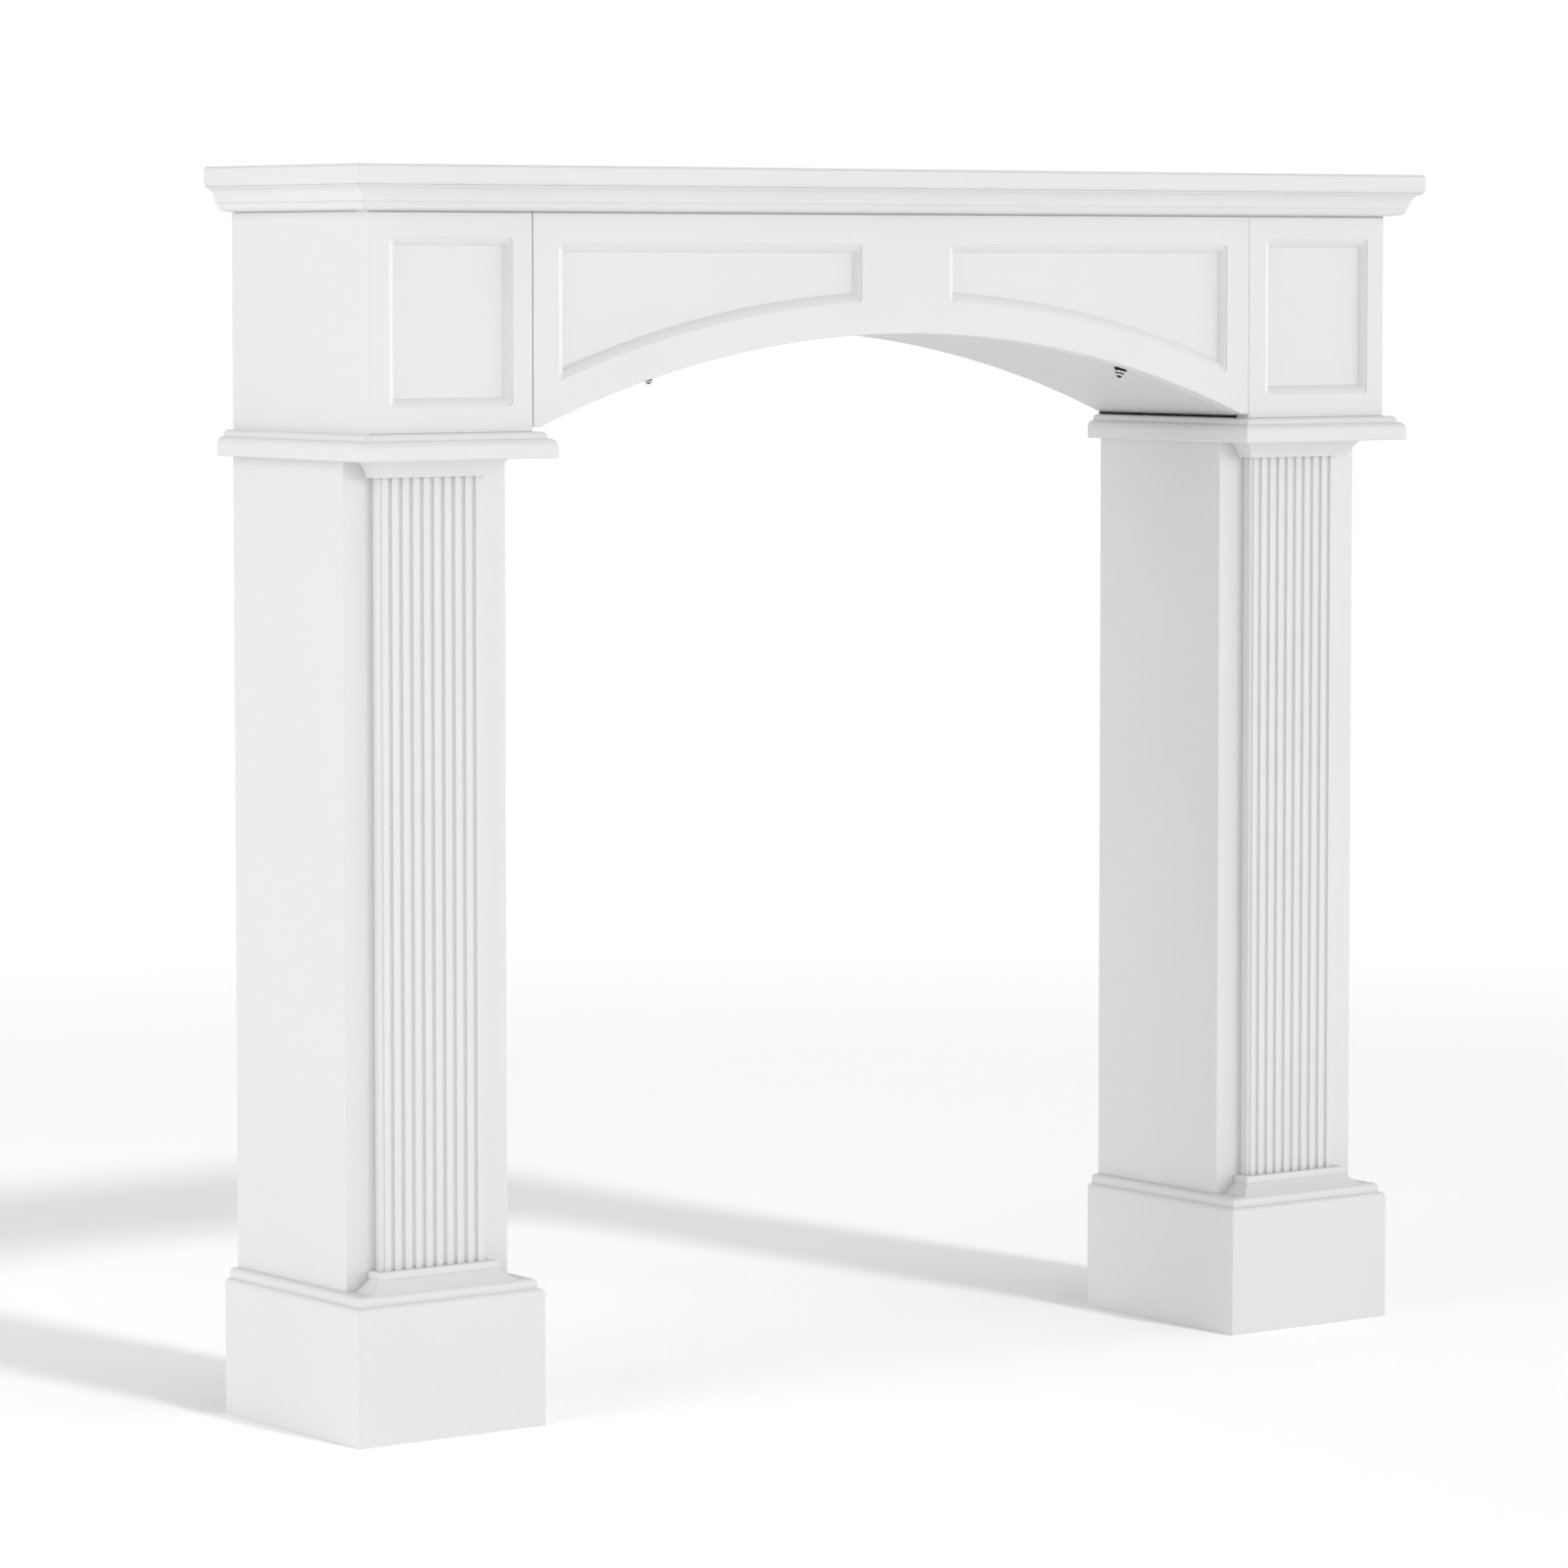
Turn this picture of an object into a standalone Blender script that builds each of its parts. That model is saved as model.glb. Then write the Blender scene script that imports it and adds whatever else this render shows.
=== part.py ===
"""White painted fireplace surround: two fluted legs, an arched beam between two end blocks, a mantel shelf.

Metres, +Z up. The front faces -Y, the back is one plane, and the origin is on the floor under the middle of
the shelf. Each leg is a plinth, a hollow shaft with a fluted strip, and a collar; the beam stands on the
collars.
"""

import math

import bmesh
import bpy

# Fits
FIT_GAP = 0.0003
SEAM_GAP = 0.0008

# Boards
BOARD = 0.015
SHELF_THICKNESS = 0.016
SHELF_OVERHANG = 0.026
SHELF_EDGE_RADIUS = 0.003

# Legs
LEG_SPAN = 1.048
LEG_WIDTH = 0.153
SHAFT_DEPTH = 0.161
SHAFT_HEIGHT = 0.6525

# Plinth and its cap
PLINTH_HEIGHT = 0.110
PLINTH_SIDE_PROJECTION = 0.012
PLINTH_FRONT_PROJECTION = 0.036
PLINTH_EDGE_RADIUS = 0.0035
CAP_THICKNESS = 0.0075
CAP_SET_BACK = 0.0045
CAP_EDGE_RADIUS = 0.004

# Fluted strip on the front of the shaft
STRIP_WIDTH = 0.099
STRIP_THICKNESS = 0.010
FLUTE_COUNT = 9
FLUTE_WIDTH = 0.0042
FLUTE_PITCH = 0.00983
FLUTE_DEPTH = 0.0021
STRIP_EDGE_WIDTH = 0.0032
STRIP_EDGE_DROP = 0.0012

# Mouldings round the foot and the head of the strip
FOOT_MOULDING_HEIGHT = 0.015
FOOT_MOULDING_LIP = 0.007
FOOT_MOULDING_LIP_HEIGHT = 0.005
FOOT_MOULDING_REACH = 0.0175
HEAD_MOULDING_HEIGHT = 0.014
HEAD_MOULDING_LIP = 0.005
HEAD_MOULDING_LIP_HEIGHT = 0.0015
HEAD_MOULDING_REACH = 0.0135

# Collar between the shaft and the beam
COLLAR_THICKNESS = 0.0205
COLLAR_PROJECTION = 0.0150
COLLAR_FACE_HEIGHT = 0.0085
COLLAR_FOOT_RADIUS = 0.001
COLLAR_OVOLO_REACH = 0.005
COLLAR_OVOLO_HEIGHT = 0.0065
COLLAR_STEP = 0.0012
COLLAR_BEAD_RADIUS = 0.004

# Beam
BEAM_HEIGHT = 0.192
BEAM_FRONT_PROJECTION = 0.0385
ARCH_RISE = 0.0745
SOFFIT_THICKNESS = 0.004
SOFFIT_SET_UP = 0.001
SOFFIT_END_CLEARANCE = 0.004

# Sunk panels in the front boards of the beam
RECESS_DEPTH = 0.005
RECESS_BEVEL = 0.007
RECESS_QUIRK = 0.001
BLOCK_PANEL_SIDE_MARGIN = 0.0185
BLOCK_PANEL_END_MARGIN = 0.020
SPANDREL_MARGIN = 0.025
SPANDREL_ARCH_MARGIN = 0.0275
CENTRE_STILE = 0.090

# Cornice moulding under the shelf
CORNICE_HEIGHT = 0.0195
CORNICE_SET_BACK = 0.0018
CORNICE_TOP_FILLET = 0.0008
CORNICE_COVE_WIDTH = 0.0084
CORNICE_COVE_HEIGHT = 0.010
CORNICE_FILLET = 0.0014
CORNICE_STEP = 0.0017
CORNICE_BEAD_WIDTH = 0.0038
CORNICE_BEAD_HEIGHT = 0.0063

# Domed metal nuts in the soffit
FIXING_RADIUS = 0.0055
FIXING_HEIGHT = 0.0085
FIXING_COLLAR = 0.002
FIXING_DOME_END = 80
FIXING_FROM_MIDDLE = 0.246

# Smoothness of curved edges
QUARTER_STEPS = 5
FLUTE_STEPS = 4
ARCH_STEPS = 40
SPANDREL_STEPS = 16
FIXING_STEPS = 20
CUTTER_START = 0.002

# Paint and metal: base colour, roughness, metallic
WHITE_PAINT = ((0.83, 0.83, 0.82), 0.38, 0.0)
STEEL = ((0.55, 0.55, 0.54), 0.35, 1.0)

# Levels, from the floor up
CAP_BOTTOM = PLINTH_HEIGHT + FIT_GAP
CAP_TOP = CAP_BOTTOM + CAP_THICKNESS
SHAFT_BOTTOM = CAP_TOP + FIT_GAP
SHAFT_TOP = SHAFT_BOTTOM + SHAFT_HEIGHT
COLLAR_BOTTOM = SHAFT_TOP + FIT_GAP
COLLAR_TOP = COLLAR_BOTTOM + COLLAR_THICKNESS
BEAM_BOTTOM = COLLAR_TOP + FIT_GAP
BEAM_TOP = BEAM_BOTTOM + BEAM_HEIGHT
SHELF_BOTTOM = BEAM_TOP + FIT_GAP
SHELF_TOP = SHELF_BOTTOM + SHELF_THICKNESS
CORNICE_BOTTOM = BEAM_TOP - CORNICE_HEIGHT

# Depths, from the back plane forwards
BEAM_DEPTH = SHAFT_DEPTH + BEAM_FRONT_PROJECTION
SHELF_DEPTH = BEAM_DEPTH + SHELF_OVERHANG
BACK_Y = SHELF_DEPTH / 2
SHAFT_FRONT_Y = BACK_Y - SHAFT_DEPTH
STRIP_FRONT_Y = SHAFT_FRONT_Y - FIT_GAP - STRIP_THICKNESS
BEAM_FRONT_Y = BACK_Y - BEAM_DEPTH
PLINTH_FRONT_Y = SHAFT_FRONT_Y - PLINTH_FRONT_PROJECTION

# Places across the width
LEG_CENTRE_X = (LEG_SPAN - LEG_WIDTH) / 2
HALF_LEG = LEG_WIDTH / 2
OPENING_HALF = LEG_SPAN / 2 - LEG_WIDTH
FASCIA_HALF = OPENING_HALF - SEAM_GAP

# Arch: a circular arc that springs where the end blocks stand on the collars
ARCH_RADIUS = (OPENING_HALF**2 + ARCH_RISE**2) / (2 * ARCH_RISE)
ARCH_CENTRE_Z = BEAM_BOTTOM + ARCH_RISE - ARCH_RADIUS


def clear_scene():
    """Empty the scene, with the meshes and materials that its objects used."""
    for old in list(bpy.data.objects):
        bpy.data.objects.remove(old, do_unlink=True)
    for pool in (bpy.data.meshes, bpy.data.materials):
        for unused in list(pool):
            pool.remove(unused)


def new_collection(name):
    """A collection in the scene; a second run of the script starts it again."""
    old = bpy.data.collections.get(name)
    if old:
        bpy.data.collections.remove(old)
    collection = bpy.data.collections.new(name)
    bpy.context.scene.collection.children.link(collection)
    return collection


def give_finish(obj, finish):
    """Give an object a material of its own."""
    colour, roughness, metallic = finish
    material = bpy.data.materials.new(obj.name + "_finish")
    material.use_nodes = True
    shader = material.node_tree.nodes["Principled BSDF"]
    shader.inputs["Base Color"].default_value = (*colour, 1.0)
    shader.inputs["Roughness"].default_value = roughness
    shader.inputs["Metallic"].default_value = metallic
    material.diffuse_color = (*colour, 1.0)
    obj.data.materials.append(material)


def solid(name, rings, parent=None, finish=WHITE_PAINT):
    """A closed solid through rings of points: the first is filled, then drawn out to each next one."""
    bm = bmesh.new()
    verts = [bm.verts.new(point) for point in rings[0]]
    face = bm.faces.new(verts)
    for step, ring in enumerate(rings[1:]):
        drawn = bmesh.ops.extrude_face_region(bm, geom=[face])["geom"]
        if step:
            bmesh.ops.delete(bm, geom=[face], context="FACES_ONLY")
        face = next(item for item in drawn if isinstance(item, bmesh.types.BMFace))
        by_place = {vert.co.to_tuple(): vert for vert in face.verts}
        verts = [by_place[vert.co.to_tuple()] for vert in verts]
        for vert, point in zip(verts, ring):
            vert.co = point
    bmesh.ops.recalc_face_normals(bm, faces=bm.faces)
    mesh = bpy.data.meshes.new(name)
    bm.to_mesh(mesh)
    bm.free()
    obj = bpy.data.objects.new(name, mesh)
    surround.objects.link(obj)
    obj.parent = parent
    give_finish(obj, finish)
    return obj


def quarter(centre, reach, height, start, end, steps=QUARTER_STEPS):
    """Points of an elliptic quarter about a centre, from one angle in degrees to another, ends included."""
    points = []
    for step in range(steps + 1):
        angle = math.radians(start + (end - start) * step / steps)
        points.append((centre[0] + reach * math.cos(angle), centre[1] + height * math.sin(angle)))
    return points


def run_names(side, piece):
    """The front's, the left side's and the right side's names: outer is away from the opening."""
    turns = ("outer", "inner") if side == "left" else ("inner", "outer")
    return (f"{side}_{piece}_front", f"{side}_{piece}_{turns[0]}", f"{side}_{piece}_{turns[1]}")


def three_runs(names, profile, x_limits, front_y, back_y, parent):
    """Three lengths round a leg or a beam, the front one mitred to a return at each side.

    The profile is (outward, height) pairs measured from the core, whose side faces are at x_limits and whose
    front face is at front_y. The returns run back to back_y. Front, left and right are named in that order.
    """
    left_x, right_x = x_limits
    cut = 0.75 * FIT_GAP
    front_name, left_name, right_name = names
    front = solid(
        front_name,
        [
            [(left_x - out + cut, front_y - out, z) for out, z in profile],
            [(right_x + out - cut, front_y - out, z) for out, z in profile],
        ],
        parent,
    )
    for name, edge_x, way in ((left_name, left_x, -1), (right_name, right_x, 1)):
        solid(
            name,
            [
                [(edge_x + way * out, back_y, z) for out, z in profile],
                [(edge_x + way * out, front_y - out + cut, z) for out, z in profile],
            ],
            parent,
        )
    return front


def box_profile(bottom, top):
    """Section of a plain board whose outer face is on the core."""
    return [(-BOARD, bottom), (0.0, bottom), (0.0, top), (-BOARD, top)]


def edged_plate(name, edge, x_limits, front_y, back_y, parent=None):
    """A plate with a shaped edge on its front and sides, given as (set back, height) pairs, bottom first."""
    left_x, right_x = x_limits
    rings = []
    for inset, z in edge:
        left, right, front = left_x + inset, right_x - inset, front_y + inset
        rings.append([(left, front, z), (right, front, z), (right, back_y, z), (left, back_y, z)])
    return solid(name, rings, parent)


def arc_points(radius, half_width, steps):
    """(x, z) points of a circular arc about the arch's centre, from left to right."""
    half_angle = math.asin(half_width / radius)
    points = []
    for step in range(steps + 1):
        angle = half_angle * (2 * step / steps - 1)
        points.append((radius * math.sin(angle), ARCH_CENTRE_Z + radius * math.cos(angle)))
    return points


def upright(name, outline, front_y, back_y, finish=WHITE_PAINT):
    """A board that stands upright: an (x, z) outline drawn out from its back to its front."""
    rings = [[(x, y, z) for x, z in outline] for y in (back_y, front_y)]
    return solid(name, rings, finish=finish)


def corner(point, start, end):
    """An outline corner as (point, outward normal) pairs; the normal turns from start to end in degrees."""
    pairs = []
    for normal_x, normal_z in quarter((0.0, 0.0), 1.0, 1.0, start, end):
        pairs.append((point, (normal_x, normal_z)))
    return pairs


def sink_panel(board, name, rim, front_y):
    """Sink a bevelled panel into a board. The rim is the outline of the flat, with its outward normals."""
    walls = (
        (RECESS_BEVEL, front_y - CUTTER_START),
        (RECESS_BEVEL, front_y + RECESS_QUIRK),
        (RECESS_QUIRK, front_y + RECESS_DEPTH),
    )
    rings = []
    for offset, y in walls:
        rings.append([(x + offset * nx, y, z + offset * nz) for (x, z), (nx, nz) in rim])
    cutter = solid(name, rings, board.parent)
    surround.objects.unlink(cutter)
    cutters.objects.link(cutter)
    cutter.hide_render = True
    cutter.display_type = "WIRE"
    cut = board.modifiers.new(name, "BOOLEAN")
    cut.operation = "DIFFERENCE"
    cut.solver = "EXACT"
    cut.object = cutter


def plinth(leg, side):
    """Boards round the foot, with a rounded top edge, and the cap plate on them."""
    radius = PLINTH_EDGE_RADIUS
    round_edge = quarter((-radius, PLINTH_HEIGHT - radius), radius, radius, 0, 90)
    profile = [(-BOARD, 0.0), (0.0, 0.0), *round_edge, (-BOARD, PLINTH_HEIGHT)]
    limits = (-HALF_LEG - PLINTH_SIDE_PROJECTION, HALF_LEG + PLINTH_SIDE_PROJECTION)
    three_runs(run_names(side, "plinth"), profile, limits, PLINTH_FRONT_Y, BACK_Y, leg)
    edge = [(0.0, CAP_BOTTOM)]
    for out, z in quarter((0.0, CAP_TOP - CAP_EDGE_RADIUS), CAP_EDGE_RADIUS, CAP_EDGE_RADIUS, 0, 90):
        edge.append((CAP_EDGE_RADIUS - out, z))
    cap_limits = (limits[0] + CAP_SET_BACK, limits[1] - CAP_SET_BACK)
    edged_plate(side + "_plinth_cap", edge, cap_limits, PLINTH_FRONT_Y + CAP_SET_BACK, BACK_Y, leg)


def fluted_strip(leg, name):
    """The strip on the front of the shaft: hollow flutes between flat lands, a small drop at each edge."""
    half = STRIP_WIDTH / 2
    outline = [(-half, SHAFT_FRONT_Y - FIT_GAP), (-half, STRIP_FRONT_Y + STRIP_EDGE_DROP)]
    outline.append((-half + STRIP_EDGE_WIDTH, STRIP_FRONT_Y + STRIP_EDGE_DROP))
    outline.append((-half + STRIP_EDGE_WIDTH, STRIP_FRONT_Y))
    for number in range(FLUTE_COUNT):
        middle = (number - (FLUTE_COUNT - 1) / 2) * FLUTE_PITCH
        outline += quarter((middle, STRIP_FRONT_Y), FLUTE_WIDTH / 2, FLUTE_DEPTH, 180, 0, FLUTE_STEPS)
    outline.append((half - STRIP_EDGE_WIDTH, STRIP_FRONT_Y))
    outline.append((half - STRIP_EDGE_WIDTH, STRIP_FRONT_Y + STRIP_EDGE_DROP))
    outline += [(half, STRIP_FRONT_Y + STRIP_EDGE_DROP), (half, SHAFT_FRONT_Y - FIT_GAP)]
    solid(name, [[(x, y, z) for x, y in outline] for z in (SHAFT_BOTTOM, SHAFT_TOP)], leg)


def strip_mouldings(leg, side):
    """Cove mouldings that wrap the foot and the head of the strip."""
    limits = (-STRIP_WIDTH / 2, STRIP_WIDTH / 2)
    back_y = SHAFT_FRONT_Y - FIT_GAP
    foot_top = SHAFT_BOTTOM + FOOT_MOULDING_HEIGHT
    foot_cove_top = foot_top - FOOT_MOULDING_LIP_HEIGHT
    foot_cove = quarter(
        (FOOT_MOULDING_REACH, foot_cove_top),
        FOOT_MOULDING_REACH - FOOT_MOULDING_LIP,
        foot_cove_top - SHAFT_BOTTOM - FIT_GAP,
        270,
        180,
    )
    foot = [(FIT_GAP, SHAFT_BOTTOM), (FOOT_MOULDING_REACH, SHAFT_BOTTOM), *foot_cove]
    foot += [(FOOT_MOULDING_LIP, foot_top), (FIT_GAP, foot_top)]
    three_runs(run_names(side, "foot_moulding"), foot, limits, STRIP_FRONT_Y, back_y, leg)
    head_bottom = SHAFT_TOP - HEAD_MOULDING_HEIGHT
    head_cove_bottom = head_bottom + HEAD_MOULDING_LIP_HEIGHT
    head_cove = quarter(
        (HEAD_MOULDING_REACH, head_cove_bottom),
        HEAD_MOULDING_REACH - HEAD_MOULDING_LIP,
        SHAFT_TOP - head_cove_bottom - HEAD_MOULDING_LIP_HEIGHT,
        180,
        90,
    )
    head = [(FIT_GAP, head_bottom), (HEAD_MOULDING_LIP, head_bottom), *head_cove]
    head += [(HEAD_MOULDING_REACH, SHAFT_TOP), (FIT_GAP, SHAFT_TOP)]
    three_runs(run_names(side, "head_moulding"), head, limits, STRIP_FRONT_Y, back_y, leg)


def collar(leg, name):
    """The moulded plate that closes the shaft and seats the beam."""
    face_top = COLLAR_BOTTOM + COLLAR_FACE_HEIGHT
    edge = []
    foot = COLLAR_FOOT_RADIUS
    for out, z in quarter((0.0, COLLAR_BOTTOM + foot), foot, foot, -90, 0, 2):
        edge.append((foot - out, z))
    for out, z in quarter((0.0, face_top), COLLAR_OVOLO_REACH, COLLAR_OVOLO_HEIGHT, 0, 90):
        edge.append((COLLAR_OVOLO_REACH - out, z))
    bead_out = COLLAR_OVOLO_REACH + COLLAR_STEP
    bead_middle_z = COLLAR_TOP - COLLAR_BEAD_RADIUS
    for out, z in quarter((0.0, bead_middle_z), COLLAR_BEAD_RADIUS, COLLAR_BEAD_RADIUS, 0, 90):
        edge.append((bead_out + COLLAR_BEAD_RADIUS - out, z))
    limits = (-HALF_LEG - COLLAR_PROJECTION, HALF_LEG + COLLAR_PROJECTION)
    edged_plate(name, edge, limits, BEAM_FRONT_Y - COLLAR_PROJECTION, BACK_Y, leg)


def end_block(leg, side):
    """The end of the beam over a leg: a front board with a sunk panel, and two side boards."""
    names = run_names(side, "block")
    profile = box_profile(BEAM_BOTTOM, BEAM_TOP)
    board = three_runs(names, profile, (-HALF_LEG, HALF_LEG), BEAM_FRONT_Y, BACK_Y, leg)
    flat_x = HALF_LEG - BLOCK_PANEL_SIDE_MARGIN - RECESS_BEVEL
    flat_top = CORNICE_BOTTOM - BLOCK_PANEL_END_MARGIN - RECESS_BEVEL
    flat_bottom = BEAM_BOTTOM + BLOCK_PANEL_END_MARGIN + RECESS_BEVEL
    rim = corner((flat_x, flat_top), 90, 0) + corner((flat_x, flat_bottom), 0, -90)
    rim += corner((-flat_x, flat_bottom), -90, -180) + corner((-flat_x, flat_top), 180, 90)
    sink_panel(board, side + "_block_panel_cut", rim, BEAM_FRONT_Y)


def spandrel_rim(way):
    """Outline of one spandrel's flat, with its outward normals; way is 1 on the right and -1 on the left."""
    inner_x = CENTRE_STILE / 2 + RECESS_BEVEL
    outer_x = OPENING_HALF - SPANDREL_MARGIN - RECESS_BEVEL
    top_z = CORNICE_BOTTOM - SPANDREL_MARGIN - RECESS_BEVEL
    radius = ARCH_RADIUS + SPANDREL_ARCH_MARGIN + RECESS_BEVEL
    outer_angle = math.asin(outer_x / radius)
    inner_angle = math.asin(inner_x / radius)
    arc = []
    for step in range(SPANDREL_STEPS + 1):
        angle = outer_angle + (inner_angle - outer_angle) * step / SPANDREL_STEPS
        across, up = math.sin(angle), math.cos(angle)
        arc.append(((radius * across, ARCH_CENTRE_Z + radius * up), (-across, -up)))
    outer_normal = -90 - math.degrees(outer_angle)
    inner_normal = -90 - math.degrees(inner_angle)
    rim = corner((inner_x, top_z), 180, 90) + corner((outer_x, top_z), 90, 0)
    rim += corner(arc[0][0], 0, outer_normal) + arc[1:-1] + corner(arc[-1][0], inner_normal, -180)
    return [((way * x, z), (way * nx, nz)) for (x, z), (nx, nz) in rim]


def arched_beam():
    """The middle of the beam: the arched front board, the curved soffit and the plain arched back board."""
    fascia_outline = arc_points(ARCH_RADIUS, FASCIA_HALF, ARCH_STEPS)
    fascia_outline += [(FASCIA_HALF, BEAM_TOP), (-FASCIA_HALF, BEAM_TOP)]
    fascia = upright("arched_fascia", fascia_outline, BEAM_FRONT_Y, BEAM_FRONT_Y + BOARD)
    for side, way in (("left", -1), ("right", 1)):
        sink_panel(fascia, side + "_spandrel_cut", spandrel_rim(way), BEAM_FRONT_Y)
    under = ARCH_RADIUS + SOFFIT_SET_UP
    over = under + SOFFIT_THICKNESS
    soffit_half = OPENING_HALF - SOFFIT_END_CLEARANCE
    soffit_outline = arc_points(under, soffit_half, ARCH_STEPS)
    soffit_outline += arc_points(over, soffit_half, ARCH_STEPS)[::-1]
    soffit_front_y = BEAM_FRONT_Y + BOARD + FIT_GAP
    upright("curved_soffit", soffit_outline, soffit_front_y, BACK_Y)
    back_outline = arc_points(over + FIT_GAP, soffit_half, ARCH_STEPS)
    back_outline += [(soffit_half, BEAM_TOP), (-soffit_half, BEAM_TOP)]
    upright("arched_back_board", back_outline, BACK_Y - BOARD, BACK_Y)
    for side, way in (("left", -1), ("right", 1)):
        soffit_fixing(side + "_soffit_fixing", way, under, soffit_front_y)


def soffit_fixing(name, way, under, soffit_front_y):
    """A domed metal nut that hangs under the soffit, close behind the front board."""
    lean = way * math.asin(FIXING_FROM_MIDDLE / under)
    across, up = math.sin(lean), math.cos(lean)
    seat = under - FIT_GAP - FIXING_RADIUS**2 / (2 * under)
    middle_y = soffit_front_y + FIXING_RADIUS + FIT_GAP
    dome_height = FIXING_HEIGHT - FIXING_COLLAR
    section = [(FIXING_RADIUS, 0.0)]
    section += quarter((0.0, FIXING_COLLAR), FIXING_RADIUS, dome_height, 0, FIXING_DOME_END)
    rings = []
    for radius, down in section:
        ring = []
        for step in range(FIXING_STEPS):
            angle = 2 * math.pi * step / FIXING_STEPS
            beside = radius * math.cos(angle)
            distance = seat - down
            x = distance * across + beside * up
            z = ARCH_CENTRE_Z + distance * up - beside * across
            ring.append((x, middle_y + radius * math.sin(angle), z))
        rings.append(ring)
    solid(name, rings, finish=STEEL)


def cornice():
    """The moulding under the shelf: a cove, a fillet and a small bead, mitred round the front corners."""
    top = BEAM_TOP
    reach = SHELF_OVERHANG - CORNICE_SET_BACK
    cove_bottom = top - CORNICE_TOP_FILLET - CORNICE_COVE_HEIGHT
    fillet_out = reach - CORNICE_COVE_WIDTH
    bead_top = cove_bottom - CORNICE_FILLET
    bead_out = fillet_out - CORNICE_STEP
    profile = [(FIT_GAP, top), (reach, top)]
    profile += quarter((reach, cove_bottom), CORNICE_COVE_WIDTH, CORNICE_COVE_HEIGHT, 90, 180)
    profile.append((fillet_out, bead_top))
    bead_foot = bead_out - CORNICE_BEAD_WIDTH
    profile += quarter((bead_foot, bead_top), CORNICE_BEAD_WIDTH, CORNICE_BEAD_HEIGHT, 0, -90)
    profile.append((FIT_GAP, CORNICE_BOTTOM))
    names = ("cornice_front", "cornice_left_return", "cornice_right_return")
    three_runs(names, profile, (-LEG_SPAN / 2, LEG_SPAN / 2), BEAM_FRONT_Y, BACK_Y, None)


def shelf():
    """The mantel shelf, with rounded edges at its front and ends."""
    radius = SHELF_EDGE_RADIUS
    edge = []
    for out, z in quarter((0.0, SHELF_BOTTOM + radius), radius, radius, -90, 0, 3):
        edge.append((radius - out, z))
    for out, z in quarter((0.0, SHELF_TOP - radius), radius, radius, 0, 90, 3):
        edge.append((radius - out, z))
    half = LEG_SPAN / 2 + SHELF_OVERHANG
    edged_plate("mantel_shelf", edge, (-half, half), BACK_Y - SHELF_DEPTH, BACK_Y)


def leg(side, way):
    """One leg and the end block of the beam over it, placed by an empty in the middle of its back."""
    empty = bpy.data.objects.new(side + "_leg", None)
    surround.objects.link(empty)
    empty.location = (way * LEG_CENTRE_X, 0.0, 0.0)

    plinth(empty, side)
    board = box_profile(SHAFT_BOTTOM, SHAFT_TOP)
    three_runs(run_names(side, "shaft"), board, (-HALF_LEG, HALF_LEG), SHAFT_FRONT_Y, BACK_Y, empty)
    fluted_strip(empty, side + "_fluted_strip")
    strip_mouldings(empty, side)
    collar(empty, side + "_collar")
    end_block(empty, side)


clear_scene()
surround = new_collection("fireplace_surround")
cutters = new_collection("cutters")
for leg_side, leg_way in (("left", -1), ("right", 1)):
    leg(leg_side, leg_way)
arched_beam()
cornice()
shelf()
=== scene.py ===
# %% [markdown]
# # A white fireplace surround
#
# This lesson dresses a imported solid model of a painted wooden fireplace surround. The solids fix every
# size. Here each board and moulding becomes a finer surface with eased edges, and gets a satin paint made
# of nodes. Nothing on a surround moves, so every piece rides on the one body, "root". All sizes are in
# metres.

import bmesh
import bpy
import numpy as np
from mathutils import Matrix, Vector


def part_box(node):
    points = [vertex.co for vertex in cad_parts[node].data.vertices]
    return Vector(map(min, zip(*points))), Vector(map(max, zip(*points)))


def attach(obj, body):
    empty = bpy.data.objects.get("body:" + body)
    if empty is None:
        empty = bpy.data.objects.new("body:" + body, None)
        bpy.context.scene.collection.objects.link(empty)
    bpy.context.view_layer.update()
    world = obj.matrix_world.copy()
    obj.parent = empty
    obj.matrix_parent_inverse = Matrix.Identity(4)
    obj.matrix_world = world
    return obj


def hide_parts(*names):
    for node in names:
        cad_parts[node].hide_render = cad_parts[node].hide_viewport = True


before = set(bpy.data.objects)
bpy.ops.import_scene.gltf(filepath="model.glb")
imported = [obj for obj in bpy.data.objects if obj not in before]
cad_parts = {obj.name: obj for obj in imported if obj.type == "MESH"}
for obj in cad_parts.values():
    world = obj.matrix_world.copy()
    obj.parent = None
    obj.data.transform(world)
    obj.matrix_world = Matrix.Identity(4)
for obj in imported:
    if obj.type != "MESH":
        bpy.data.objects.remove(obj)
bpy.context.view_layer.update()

# %% [markdown]
# ## Reading places from the solids
#
# A finer piece must sit exactly where its solid sits. One way is to type the sizes again, but then two
# files can disagree. So each place is read from the boxes of the solids that the piece stands for.


# %% The box round one or more solids
def span(*nodes):
    """Lowest and highest corner of the named solids together."""
    boxes = np.array([[list(corner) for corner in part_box(node)] for node in nodes])
    return boxes[:, 0].min(axis=0), boxes[:, 1].max(axis=0)


SIDES = ("left", "right")
beam_low, beam_high = span("left_block_front", "left_block_outer", "right_block_front", "right_block_outer")
BACK, FRONT = beam_high[1], beam_low[1]
print("front of the beam at y =", round(FRONT, 5), "and the back plane at y =", round(BACK, 5))

# %% [markdown]
# ## Satin paint
#
# The real surround is fibreboard under sprayed white paint. Such paint isn't one flat white: its tone
# drifts a little over a board, its sheen is uneven, and close up it has the fine ripple of a sprayed
# coat. An image could hold all that, but nodes on Object coordinates need no image and stay at one real
# scale on every piece.
#
# Shader maths reads best as ordinary Python, so a small class wraps a socket and overloads the operators.


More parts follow.
